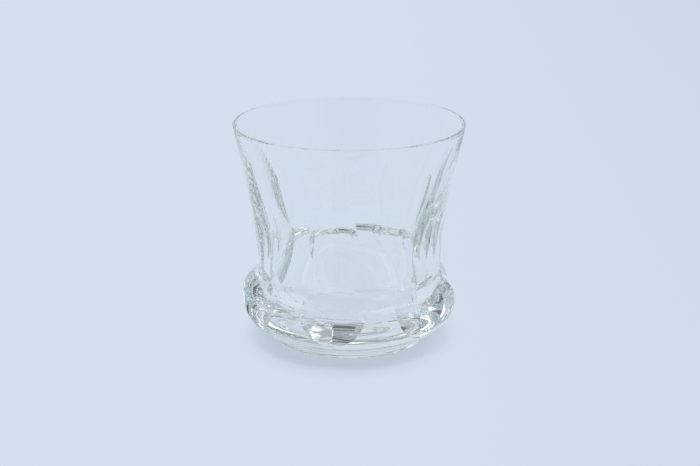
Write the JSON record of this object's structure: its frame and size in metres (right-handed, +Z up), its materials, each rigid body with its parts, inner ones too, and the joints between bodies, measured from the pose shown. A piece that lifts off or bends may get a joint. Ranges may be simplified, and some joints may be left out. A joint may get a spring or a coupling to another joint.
{
  "type": "whisky glass",
  "caption": "Clear crystal whisky tumbler with a flared rim, a waist and a heavy bulged base, cut with tall panels round its side; stands on a flat foot and holds a drink.",
  "frame": {"origin": "middle of the foot's flat underside, on the surface that the glass stands on", "axes": "+Z up along the glass's axis towards the rim, -Y out of the middle of one cut panel"},
  "size_m": [0.09, 0.09, 0.086],
  "materials": {
    "bowl_crystal": "polished clear crystal",
    "foot_crystal": "polished clear crystal"
  },
  "bodies": {
    "root": {"bowl": "bowl_crystal", "foot": "foot_crystal"}
  },
  "joints": []
}
